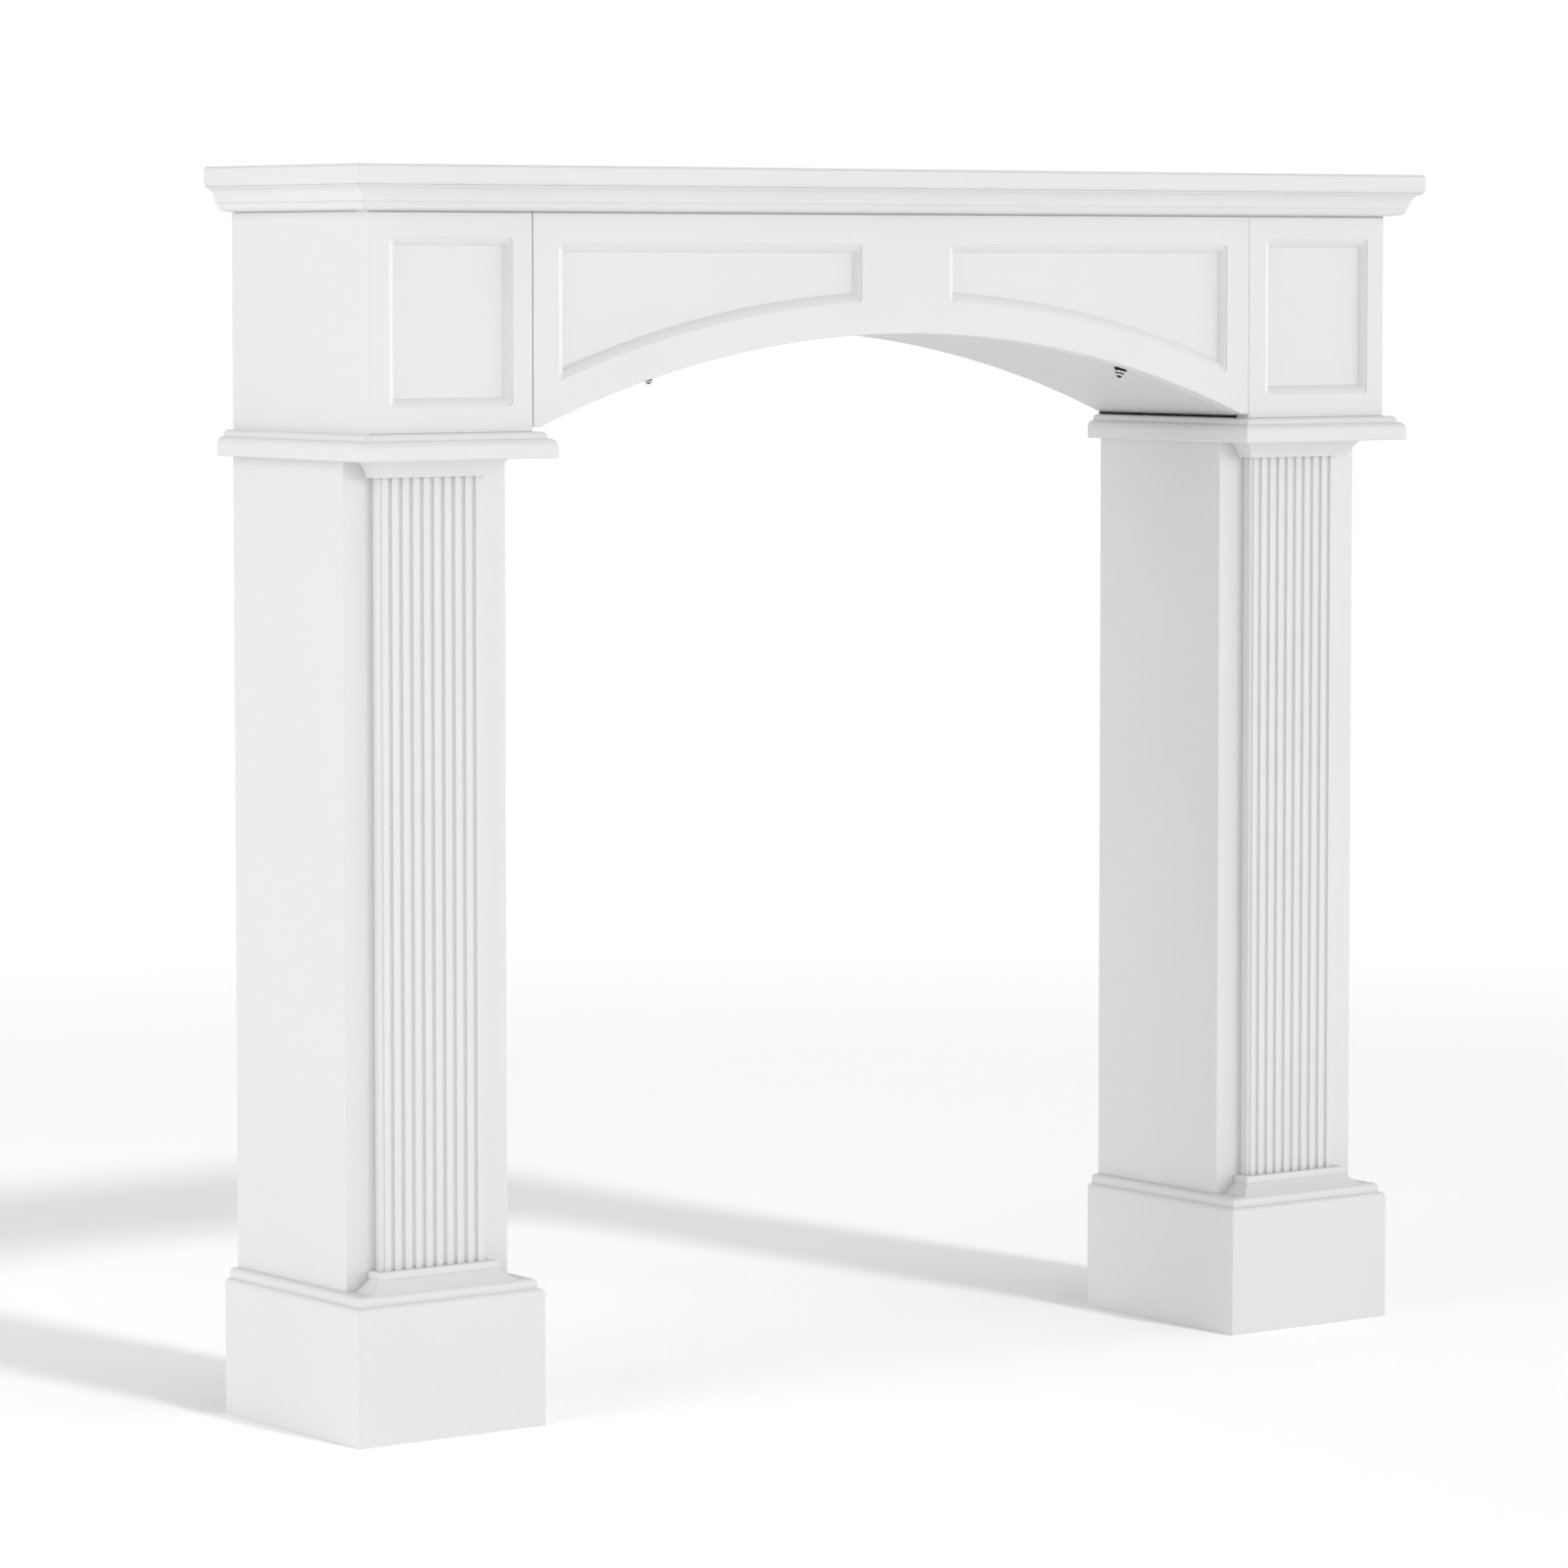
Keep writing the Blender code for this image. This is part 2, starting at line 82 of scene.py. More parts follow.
# %% Node sums written as Python
class Wire:
    """The output socket of a node. Sums and products of wires and numbers add Math nodes to the same tree."""

    def __init__(self, finish, socket):
        self.finish, self.socket = finish, socket

    def _math(self, operation, first, second):
        return self.finish.node("ShaderNodeMath", {"operation": operation}, {0: first, 1: second})

    def __add__(self, other):
        return self._math("ADD", self, other)

    def __radd__(self, other):
        return self._math("ADD", other, self)

    def __mul__(self, other):
        return self._math("MULTIPLY", self, other)

    def __rmul__(self, other):
        return self._math("MULTIPLY", other, self)

    def smooth(self, low, high):
        """0 below low, 1 above high, and an even S-curve between."""
        settings = {"interpolation_type": "SMOOTHSTEP"}
        values = {"Value": self, "From Min": low, "From Max": high}
        return self.finish.node("ShaderNodeMapRange", settings, values)


class Finish:
    """A material in the making."""

    def __init__(self, name):
        self.material = bpy.data.materials.new(name)
        self.material.use_nodes = True
        self.tree = self.material.node_tree
        self.shader = self.tree.nodes["Principled BSDF"]

    def node(self, kind, settings=None, values=None, output=0):
        """Add a node: its settings first, then the values or wires of its sockets. Gives one output."""
        made = self.tree.nodes.new(kind)
        for setting, value in (settings or {}).items():
            setattr(made, setting, value)
        self.feed(made, values or {})
        return Wire(self, made.outputs[output])

    def feed(self, node, values):
        """Set each named or numbered socket of a node to a number or a colour, or link a wire to it."""
        for socket, value in values.items():
            if isinstance(value, Wire):
                self.tree.links.new(value.socket, node.inputs[socket])
            else:
                node.inputs[socket].default_value = value

    def place(self, stretch=(1.0, 1.0, 1.0)):
        """Object coordinates in metres, stretched along the axes."""
        spot = self.node("ShaderNodeTexCoord", output="Object")
        return self.node("ShaderNodeMapping", values={"Vector": spot, "Scale": stretch})

    def noise(self, place, per_metre, detail=2.0):
        """Smooth noise from 0 to 1, with that many blobs to the metre."""
        values = {"Vector": place, "Scale": per_metre, "Detail": detail}
        return self.node("ShaderNodeTexNoise", values=values)

    def blend(self, factor, one, other):
        """A colour between two others."""
        amount, first_colour, second_colour, mixed = 0, 6, 7, 2
        values = {amount: factor, first_colour: one, second_colour: other}
        return self.node("ShaderNodeMix", {"data_type": "RGBA"}, values, output=mixed)


print("shader helpers ready")

# %% [markdown]
# Three kinds of painted surface are needed. Flat boards have the smoothest coat. On mouldings and flutes
# the cutter leaves faint lines that run with the piece, and the open fibre drinks paint, so the coat
# there is a touch duller. The hidden inner faces have only a thin, chalky first coat.


# %% The paints
DRIFTS, PATCHES, RIPPLES, CUTTER_LINES = 5.0, 38.0, 420.0, 900.0  # blobs to the metre
TONE_FROM, TONE_TO = 0.3, 0.75
RELIEF_STRENGTH, RELIEF_HEIGHT = 0.35, 0.0001
PATCH_SHEEN, RIPPLE_SHEEN, PAINT_IOR = 0.10, 0.06, 1.46


def paint(name, tone, shade, sheen, ripple, grain=(1.0, 1.0, 1.0), grain_depth=0.0):
    """Painted fibreboard: a tone that drifts to a shade of itself, uneven sheen, and a rippled coat."""
    finish = Finish(name)
    place = finish.place()
    drift = finish.noise(place, DRIFTS, 3.0)
    patch = finish.noise(place, PATCHES, 3.0)
    colour = finish.blend(drift.smooth(TONE_FROM, TONE_TO), (*tone, 1.0), (*shade, 1.0))
    coat = finish.noise(place, RIPPLES)
    height = ripple * coat
    if grain_depth:
        height = height + grain_depth * finish.noise(finish.place(grain), CUTTER_LINES, 1.0)
    bump = {"Strength": RELIEF_STRENGTH, "Distance": RELIEF_HEIGHT, "Height": height}
    relief = finish.node("ShaderNodeBump", values=bump)
    roughness = sheen + PATCH_SHEEN * patch + RIPPLE_SHEEN * coat
    values = {"Base Color": colour, "Roughness": roughness, "Normal": relief, "IOR": PAINT_IOR}
    finish.feed(finish.shader, values)
    return finish.material


WHITE, WHITE_SHADE = (0.722, 0.722, 0.722), (0.706, 0.706, 0.707)
FIRST_COAT, FIRST_SHADE = (0.74, 0.735, 0.72), (0.70, 0.69, 0.67)
SATIN, DULLER, CHALKY = 0.36, 0.42, 0.72
SPRAYED, ROUGH = 1.0, 2.5
LINES_ALONG, LINES_UP, LINE_DEPTH = (0.06, 1.0, 1.0), (1.0, 1.0, 0.06), 0.1
board_paint = paint("satin_white_on_boards", WHITE, WHITE_SHADE, SATIN, SPRAYED)
run_paint = paint("satin_white_on_mouldings", WHITE, WHITE_SHADE, DULLER, SPRAYED, LINES_ALONG, LINE_DEPTH)
flute_paint = paint("satin_white_on_flutes", WHITE, WHITE_SHADE, DULLER, SPRAYED, LINES_UP, LINE_DEPTH)
first_coat = paint("thin_first_coat", FIRST_COAT, FIRST_SHADE, CHALKY, ROUGH)
print("paints:", [m.name for m in (board_paint, run_paint, flute_paint, first_coat)])

# %% [markdown]
# ## Surfaces from arrays
#
# Every board and moulding here is a stack of rings: outlines with the same number of points, joined ring
# to ring by four-sided faces. An added edge-bevel tool could round the corners afterwards, but then two
# roundings meet in odd ways at the mitres. Here the rounding is part of the outline, so it is exact on
# every piece.


# %% A closed solid through a stack of rings
def ring_faces(rings, points):
    """Corner numbers of the four-sided faces between a stack of rings, each ring closed on itself."""
    ring, spot = np.meshgrid(np.arange(rings - 1), np.arange(points), indexing="ij")
    beside = (spot + 1) % points
    quads = np.stack([ring * points + spot, ring * points + beside], axis=-1)
    quads = np.concatenate([quads, quads[..., ::-1] + points], axis=-1)
    return quads.reshape(-1, 4).tolist()


def make_piece(name, corners, faces, paints, paint_of_face=None):
    """Put corners and faces into a mesh, merge what coincides, and turn every face outwards."""
    mesh = bpy.data.meshes.new(name)
    mesh.from_pydata(np.asarray(corners, float).reshape(-1, 3).tolist(), [], faces)
    if paint_of_face is not None:
        mesh.polygons.foreach_set("material_index", np.asarray(paint_of_face, np.int32))
    for finish in paints:
        mesh.materials.append(finish)
    body = bmesh.new()
    body.from_mesh(mesh)
    bmesh.ops.remove_doubles(body, verts=body.verts, dist=1e-6)
    bmesh.ops.recalc_face_normals(body, faces=body.faces)
    open_edges = sum(len(edge.link_faces) != 2 for edge in body.edges)
    body.to_mesh(mesh)
    body.free()
    piece = bpy.data.objects.new(name, mesh)
    bpy.context.scene.collection.objects.link(piece)
    print(f"{name}: {len(mesh.polygons)} faces, {open_edges} open edges")
    return piece


def dress(piece, *nodes, slot="painted_wood"):
    """Let a finished piece stand for its solids, on the one body."""
    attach(piece, "root")
    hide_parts(*nodes)
    return piece


def ring_solid(rings):
    """Corners and faces of a stack of rings (m, n, 3), closed at both ends."""
    rings = np.asarray(rings, float)
    count, points = rings.shape[:2]
    ends = [list(range(points)), list(range((count - 1) * points, count * points))]
    return rings.reshape(-1, 3), ring_faces(count, points) + ends


def stack(name, rings, paints, bare=None):
    """A solid through rings. bare is 1 for each strip of the outline that has the second finish."""
    corners, faces = ring_solid(rings)
    paint_of_face = None
    if bare is not None:
        paint_of_face = np.concatenate([np.tile(np.asarray(bare, int), len(rings) - 1), [1, 1]])
    return make_piece(name, corners, faces, paints, paint_of_face)


print("array helpers ready")

# %% [markdown]
# A sharp corner looks false, because real paint and sanding always round it. A corner is rounded here by
# a parabola: it leaves one side a short way before the corner and joins the other side as far behind it.
# It is quicker to place than a circle and looks the same at this size.


# %% Rounded outlines
def eased(outline, cuts, steps=4, sharp=False):
    """Each corner P becomes points on (1-s)^2 A + 2s(1-s) P + s^2 B, with A and B a cut away either side.

    With sharp, the points keep to the straight sides from A to P to B, so the corner stays as it is.
    """
    corners = np.asarray(outline, float)
    cuts = np.broadcast_to(cuts, len(corners))
    s = np.linspace(0.0, 1.0, steps + 1)[:, None]
    parts = []
    for before, here, after, cut in zip(np.roll(corners, 1, 0), corners, np.roll(corners, -1, 0), cuts):
        if cut == 0:
            parts.append(here[None])
            continue
        a = here + (before - here) * cut / np.linalg.norm(before - here)
        b = here + (after - here) * cut / np.linalg.norm(after - here)
        if sharp:
            parts.append(np.where(s < 0.5, a + (here - a) * 2 * s, here + (b - here) * (2 * s - 1)))
        else:
            parts.append((1 - s) ** 2 * a + 2 * s * (1 - s) * here + s**2 * b)
    return np.concatenate(parts)


def quarter(centre, reach, height, start, end, steps=10):
    """Points of a quarter of an ellipse about a centre, between two angles in degrees."""
    turn = np.radians(np.linspace(start, end, steps + 1))
    return np.stack([centre[0] + reach * np.cos(turn), centre[1] + height * np.sin(turn)], axis=1)


print("a quarter round has", len(quarter((0, 0), 1, 1, 0, 90)), "points")

# %% [markdown]
# ## Runs round three sides
#
# Mouldings, plinth boards and shaft boards all go round three sides of a box and stop at the wall. A
# joiner cuts each from one profile and mitres the corners. The same is done here: a profile of (outward,
# height) pairs is carried along a path round the box, and at a corner it moves out along the diagonal,
# which is a mitre.


# %% A profile carried round three sides
def round_three_sides(low, high, ease=0.0008, steps=4):
    """Plan of the path from the back round both front corners, and how one unit out moves each point."""
    turn = np.linspace(0.0, np.pi / 2, steps + 1)
    left = np.stack([low[0] + ease * (1 - np.cos(turn)), low[1] + ease * (1 - np.sin(turn))], axis=1)
    right = (left * (-1, 1) + (low[0] + high[0], 0.0))[::-1]
    path = np.concatenate([[[low[0], BACK]], left, right, [[high[0], BACK]]])
    outward = [[-1.0, 0.0], [-1.0, -1.0], [1.0, -1.0], [1.0, 0.0]]
    mitre = np.repeat(outward, [1, steps + 1, steps + 1, 1], axis=0)
    return path, mitre


def carried(profile, path, mitre, base):
    """Rings of a profile carried along a path: place = path + outward * mitre, height = base + up."""
    profile = np.asarray(profile, float)
    rings = np.zeros((len(path), len(profile), 3))
    rings[:, :, :2] = path[:, None] + profile[None, :, :1] * mitre[:, None]
    rings[:, :, 2] = base + profile[:, 1]
    return rings


def sides_of(piece):
    """Names of a piece's front length and its two returns, on both legs."""
    faces = ("front", "outer", "inner")
    return {side: [f"{side}_{piece}_{face}" for face in faces] for side in SIDES}


JOINT, MITRE_EASE, MITRE_STEPS = 0.0003, 0.0003, 2
shaft_low, shaft_high = span("left_shaft_outer")
BOARD = float(shaft_high[0] - shaft_low[0])
print("boards are", round(BOARD * 1000, 1), "mm thick")

# %% [markdown]
# ## The legs
#
# A plinth of three boards stands on the floor, its top edge rounded over. A thin plate caps it, and three
# more boards make the square shaft. The legs are open at the back, where the wall is, so the boards show
# their true thickness there and only the first coat inside.


# %% Plinth, cap and shaft boards
def board_run(side, piece, ease_top, ease_bottom):
    """Three boards in one, from their solids: the outer face, eased edges, and the bare inner face."""
    nodes = sides_of(piece)[side]
    low, high = span(*nodes)
    low[2] = max(low[2] - JOINT, 0.0)
    tall = high[2] - low[2]
    section = [(0.0, 0.0), (0.0, tall), (-BOARD, tall), (-BOARD, 0.0)]
    profile = eased(section, [ease_bottom, ease_top, 0.0, 0.0], steps=8)
    bare = np.isclose(profile[:, 0], -BOARD) & np.isclose(np.roll(profile, -1, 0)[:, 0], -BOARD)
    path, mitre = round_three_sides(low, high)
    rings = carried(profile, path, mitre, low[2])
    return dress(stack(f"{side}_{piece}_boards", rings, (board_paint, first_coat), bare), *nodes)


PLINTH_ROUND, PLINTH_FOOT, SHAFT_ENDS = 0.0048, 0.0004, 0.0002
for side in SIDES:
    board_run(side, "plinth", PLINTH_ROUND, PLINTH_FOOT)
    board_run(side, "shaft", SHAFT_ENDS, SHAFT_ENDS)

# %% [markdown]
# The cap and the collar are single boards with a shaped edge on three sides. Here the rings lie flat, one
# above the other: each is the board's plan, drawn in by as much as the edge is cut back at that height.


# %% Plates with a shaped edge
def plate(name, edge, low, high, nodes, ease=0.0008, finish=board_paint):
    """A flat board from its edge, given as (set back, height) pairs from the bottom up."""
    rings = []
    for inset, height in edge:
        plan = [
            (low[0] + inset, BACK),
            (low[0] + inset, low[1] + inset),
            (high[0] - inset, low[1] + inset),
            (high[0] - inset, BACK),
        ]
        plan = eased(plan, [0.0, ease, ease, 0.0])
        rings.append(np.column_stack([plan, np.full(len(plan), low[2] + height)]))
    return dress(stack(name, rings, (finish,)), *nodes)


def rounded_up(reach, height, top, steps=8):
    """Top of an edge: a quarter round that falls back by its reach over its height."""
    turned = quarter((0.0, top - height), reach, height, 0, 90, steps)
    return [(reach - out, up) for out, up in turned]


def rounded_under(reach, height, steps=8):
    """Foot of an edge: a quarter round that comes out by its reach over its height."""
    turned = quarter((0.0, height), reach, height, -90, 0, steps)
    return [(reach - out, up) for out, up in turned]


CAP_ROUND = 0.004
for side in SIDES:
    low, high = span(f"{side}_plinth_cap")
    edge = [(0.0, -JOINT), *rounded_up(CAP_ROUND, CAP_ROUND, high[2] - low[2])]
    plate(f"{side}_cap_plate", edge, low, high, [f"{side}_plinth_cap"])

# %% [markdown]
# The collar is the heavier moulded plate between shaft and beam. From its underside it has a plain face,
# then a wide quarter round, a small step, and a narrow quarter round up to the seat of the beam.


# %% Collars
def collar_edge(thick):
    """The collar's edge as (set back, height) pairs."""
    foot_round, wide_reach, wide_height, wide_top = 0.001, 0.005, 0.0065, 0.015
    step_in, step_top, narrow_reach, narrow_height = 0.0062, 0.0152, 0.004, 0.0042
    edge = [(foot_round, -JOINT), *rounded_under(foot_round, foot_round, steps=3)]
    edge += [*rounded_up(wide_reach, wide_height, wide_top), (step_in, step_top)]
    return edge + [(step_in + inset, up) for inset, up in rounded_up(narrow_reach, narrow_height, thick)]


COLLAR_CORNER = 0.0006
for side in SIDES:
    low, high = span(f"{side}_collar")
    edge = collar_edge(high[2] - low[2])
    plate(f"{side}_collar_plate", edge, low, high, [f"{side}_collar"], COLLAR_CORNER, run_paint)

# %% [markdown]
# ## The fluted strips
#
# A strip with nine shallow hollows stands on the front of each shaft. Each hollow is cut by a round-nosed
# cutter, so its section is an arc. The strip's section is drawn once in plan and carried up from the
# plinth to the collar. Its long edges drop by a small step, as the photographed one's do.


# %% Fluted strips
FLUTES, FLUTE_PITCH, FLUTE_HALF, FLUTE_DEPTH = 9, 0.00983, 0.0021, 0.0021
EDGE_WIDTH, EDGE_DROP, EDGE_ROUND, LAND_EASE = 0.0032, 0.0012, 0.0007, 0.0003


def fluted_section(half, front, back):
    """Plan of the strip: back, stepped edge, then hollows and lands in turn, and the other edge."""
    middles = (np.arange(FLUTES) - (FLUTES - 1) / 2) * FLUTE_PITCH
    flutes = [quarter((middle, front), FLUTE_HALF, FLUTE_DEPTH, 180, 0, 12) for middle in middles]
    step, dropped = -half + EDGE_WIDTH, front + EDGE_DROP
    left = [(-half, back)]
    left += list(quarter((-half + EDGE_ROUND, dropped + EDGE_ROUND), EDGE_ROUND, EDGE_ROUND, 180, 270, 4))
    left += [(step, dropped), (step, front + LAND_EASE), (step + LAND_EASE, front)]
    right = [(-x, y) for x, y in left[::-1]]
    return np.concatenate([left, *flutes, right])


for side in SIDES:
    node = f"{side}_fluted_strip"
    low, high = span(node)
    section = fluted_section((high[0] - low[0]) / 2, low[1], high[1]) + ((low[0] + high[0]) / 2, 0.0)
    rings = [np.column_stack([section, np.full(len(section), height)]) for height in (low[2], high[2])]
    dress(stack(f"{side}_flutes", rings, (flute_paint,)), node)

# %% [markdown]
# A small moulding wraps the foot of each strip and another its head. The foot one has an upright lip and
# then slopes out over the cap; the head one leans out to the collar. Both slopes are slightly hollow.
# Both mouldings end against the shaft, not at the wall, so the path's ends are moved forwards.


# %% Foot and head mouldings of the strips
def moulding_run(side, piece, profile):
    """A small moulding on the strip: its front and two returns, mitred."""
    nodes = sides_of(piece)[side]
    low = span(*nodes)[0]
    strip_low, strip_high = span(f"{side}_fluted_strip")
    path, mitre = round_three_sides(strip_low, strip_high, MITRE_EASE, MITRE_STEPS)
    path[[0, -1], 1] = strip_high[1]
    rings = carried(profile, path, mitre, low[2])
    return dress(stack(f"{side}_{piece}_run", rings, (run_paint,)), *nodes)


def foot_profile(tall):
    """Lip above, then a slope from behind it to a thin toe: outward = start + (reach - start) * t^1.3."""
    reach, lip, lip_round, start, toe = 0.0175, 0.007, 0.0012, 0.0063, 0.0003
    lip_foot = tall - 0.0054
    t = np.linspace(1.0, 0.0, 11)
    slope = np.stack([start + (reach - start) * t**1.3, lip_foot - (lip_foot - toe) * t], axis=1)
    lip_top = quarter((lip - lip_round, tall - lip_round), lip_round, lip_round, 0, 90, 4)
    under = [(JOINT, -JOINT), (reach, -JOINT)]
    return np.concatenate([under, slope, [(lip, lip_foot)], lip_top, [(JOINT, tall)]])


def head_profile(tall):
    """Lip below, then a slope that leans out faster and faster: outward = lip + (reach - lip) * t^1.4."""
    reach, lip, band, ease = 0.0135, 0.0065, 0.0014, 0.0004
    t = np.linspace(0.0, 1.0, 11)
    slope = np.stack([lip + (reach - lip) * t**1.4, band + (tall - 2 * band) * t], axis=1)
    under = [(JOINT, 0.0), (lip - ease, 0.0), (lip, ease)]
    return np.concatenate([under, slope, [(reach, tall), (JOINT, tall)]])


for side in SIDES:
    for piece, profile in (("foot_moulding", foot_profile), ("head_moulding", head_profile)):
        low, high = span(*sides_of(piece)[side])
        moulding_run(side, piece, profile(high[2] - low[2]))

# %% [markdown]
# ## The beam
#
# Over each leg the beam ends in a block: two plain side boards, and a front board with a sunk panel. The
# sunk panel is cut by a router that follows its edge. It leaves a thin step and then a bulging slope that
# meets the panel in a crisp crease, and it rounds the outer corners because the cutter is round. The
# bulge is why the lower and left slopes hardly show: they start almost level with the face.
#
# Each sunk board is a stack of rings that run round the board. The first rings are the board's own
# outline; then they jump to the panel's outline, which makes the face between the two, and step down into
# the panel.


# %% The section of a sunk panel
def bulge(start, pull, end, steps=6):
    """Points of (1-s)^2 A + 2s(1-s) P + s^2 B, from the start A towards the pull P and into the end B."""
    s = np.linspace(0.0, 1.0, steps + 1)[:, None]
    return (1 - s) ** 2 * np.array(start) + 2 * s * (1 - s) * np.array(pull) + s**2 * np.array(end)


QUIRK = [(0.0, 0.0), (0.0002, 0.0007)]
PANEL_STEPS = QUIRK + bulge((0.0010, 0.0008), (0.0054, 0.0025), (0.0070, 0.0050)).tolist()
PANEL_CORNER = 0.0042
CORNER_STEPS = 6
ARRIS = [(0.0, 0.0007), (0.0002, 0.0002), (0.0007, 0.0)]
REVEAL, REBATE = 0.0007, 0.0015
BLOCK_EASE = 0.0006
cornice_bottom = float(span("cornice_front")[0][2])
print("the panels are sunk", PANEL_STEPS[-1][1] * 1000, "mm")


def corner_cut(depth):
    """How much the panel's corners are rounded at a depth: less and less down to the sharp inner crease."""
    return max(PANEL_CORNER * (1 - depth / PANEL_STEPS[-1][1]), 0.0003)


def upright(outline, y):
    """An (x, z) outline stood up at a depth."""
    return np.column_stack([outline[:, 0], np.full(len(outline), y), outline[:, 1]])


def block_outline(low, high, inset, cut, sharp=False):
    """A rectangle drawn in by an inset, its corners rounded by a cut."""
    left, right = low[0] + inset, high[0] - inset
    bottom, top = low[1] + inset, high[1] - inset
    return eased([(left, bottom), (left, top), (right, top), (right, bottom)], cut, CORNER_STEPS, sharp)


# %% End blocks
SEAM_CLOSED, PANEL_FROM_SIDE, PANEL_FROM_END = 0.0006, 0.0185, 0.020
for side in SIDES:
    nodes = sides_of("block")[side]
    low, high = span(*nodes)
    if side == "right":
        low[0] -= SEAM_CLOSED
    face_low, face_high = (low[0], low[2] - JOINT), (high[0], cornice_bottom - REVEAL)
    panel_low = (low[0] + PANEL_FROM_SIDE, low[2] + PANEL_FROM_END)
    panel_high = (high[0] - PANEL_FROM_SIDE, cornice_bottom - PANEL_FROM_END)
    full = block_outline(face_low, (high[0], high[2]), 0.0, BLOCK_EASE, True)
    face = block_outline(face_low, face_high, 0.0, BLOCK_EASE, True)
    rings = [upright(full, FRONT + BOARD), upright(full, FRONT + REBATE), upright(face, FRONT + REBATE)]
    for inset, depth in ARRIS:
        rings.append(upright(block_outline(face_low, face_high, inset, BLOCK_EASE, True), FRONT + depth))
    for inset, depth in PANEL_STEPS:
        rings.append(upright(block_outline(panel_low, panel_high, inset, corner_cut(depth)), FRONT + depth))
    dress(stack(f"{side}_block_panel", rings, (board_paint,)), nodes[0])
    for node in nodes[1:]:
        board_low, board_high = span(node)
        left_side = board_low[0] < (low[0] + high[0]) / 2
        outer, inner = (board_low[0], board_high[0]) if left_side else (board_high[0], board_low[0])
        y = FRONT + BOARD
        set_in = outer + np.sign(inner - outer) * REBATE
        bottom, shoulder, top = board_low[2] - JOINT, face_high[1], board_high[2]
        steps = [(outer, bottom), (outer, shoulder), (set_in, shoulder), (set_in, top)]
        rings = []
        for edge, height in steps:
            rings.append([(edge, y, height), (edge, BACK, height), (inner, BACK, height), (inner, y, height)])
        name = node.replace("block", "block_side")
        dress(stack(name, rings, (board_paint, first_coat), [0, 1, 1, 1]), node)

# %% [markdown]
# Between the blocks the beam is one wide board with an arched lower edge and two sunk panels, whose lower
# edges follow the arch. Left and right are mirror images, so one half is worked out and then turned over.
# Both halves share their points on the middle line, and merging those makes them one board again.

# %% The arch, read back from its solid
fascia_low, fascia_high = span("arched_fascia")
arch_points = np.array([v.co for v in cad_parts["arched_fascia"].data.vertices])
HAIR, BELOW_CORNICE = 0.0005, 0.07
on_front = arch_points[:, 1] < FRONT + HAIR
on_arch = arch_points[:, 2] < cornice_bottom - BELOW_CORNICE
front_points = arch_points[on_front & on_arch]
crown = front_points[np.abs(front_points[:, 0]).argmin(), 2]
foot = fascia_low[2]
half_width = fascia_high[0]
RADIUS = (half_width**2 + (crown - foot) ** 2) / (2 * (crown - foot))
CENTRE_Z = crown - RADIUS
FOOT_CLEAR = 0.003
ARC_POINTS = 72
STILE_HALF, FROM_END, FROM_CORNICE, FROM_ARCH = 0.045, 0.0242, 0.025, 0.0275
print("arch radius", round(RADIUS, 4), "crown at", round(crown, 4), "springing at", round(foot, 4))


def arc_to(radius, from_x, to_x, points=ARC_POINTS):
    """Points of the circle about the arch's centre, from one place across to another."""
    turn = np.linspace(np.arcsin(from_x / radius), np.arcsin(to_x / radius), points)
    return np.stack([radius * np.sin(turn), CENTRE_Z + radius * np.cos(turn)], axis=1)


def half_board(inset, top):
    """Outline of the board's right half, drawn in by an inset but never away from the middle line."""
    right, floor, radius = half_width - inset, foot + FOOT_CLEAR + inset, RADIUS + inset
    foot_x = np.sqrt(radius**2 - (floor - CENTRE_Z) ** 2)
    arc = arc_to(radius, foot_x, 0.0, ARC_POINTS + CORNER_STEPS)
    corners = np.array([(0.0, top - inset), (right, top - inset), (right, floor), arc[0], arc[-1]])
    shaped = eased(corners, [BLOCK_EASE, BLOCK_EASE, BLOCK_EASE, 0.0, 0.0], CORNER_STEPS, True)
    return np.concatenate([shaped[: 3 * (CORNER_STEPS + 1) - 1], arc])


def spandrel(inset, cut):
    """Outline of the right sunk panel, drawn in by an inset: stile, top, end, and the edge along the arch."""
    inner, outer = STILE_HALF + inset, half_width - FROM_END - inset
    top, radius = cornice_bottom - FROM_CORNICE - inset, RADIUS + FROM_ARCH + inset
    arc = arc_to(radius, outer, inner)
    corners = np.array([(inner, top), (outer, top), arc[0], arc[-1]])
    shaped = eased(corners, cut, CORNER_STEPS)
    each = CORNER_STEPS + 1
    above, start, end = shaped[: 2 * each], shaped[2 * each : 3 * each], shaped[3 * each :]
    inside = arc_to(radius, start[-1, 0], end[0, 0])[1:-1]
    return np.concatenate([above, start, inside, end])


print("half outline", len(half_board(0, 0.96)), "points, spandrel outline", len(spandrel(0, 0.004)), "points")


# %% The arched board
def turned_over(corners, faces):
    """Both halves: the given one, without the faces on the middle line, and its mirror image in x."""
    corners = np.asarray(corners, float).reshape(-1, 3)
    on_middle = np.abs(corners[:, 0]) < 1e-7
    faces = [face for face in faces if not on_middle[face].all()]
    mirrored = [[spot + len(corners) for spot in face[::-1]] for face in faces]
    return np.concatenate([corners, corners * (-1, 1, 1)]), faces + mirrored


beam_top = fascia_high[2]
face_top = cornice_bottom - REVEAL
full = half_board(0.0, beam_top)
half_rings = [upright(full, FRONT + BOARD), upright(full, FRONT + REBATE)]
half_rings.append(upright(half_board(0.0, face_top), FRONT + REBATE))
half_rings += [upright(half_board(inset, face_top), FRONT + depth) for inset, depth in ARRIS]
for inset, depth in PANEL_STEPS:
    half_rings.append(upright(spandrel(inset, corner_cut(depth)), FRONT + depth))
corners, faces = turned_over(*ring_solid(half_rings))
dress(make_piece("arched_board", corners, faces, (board_paint,)), "arched_fascia")

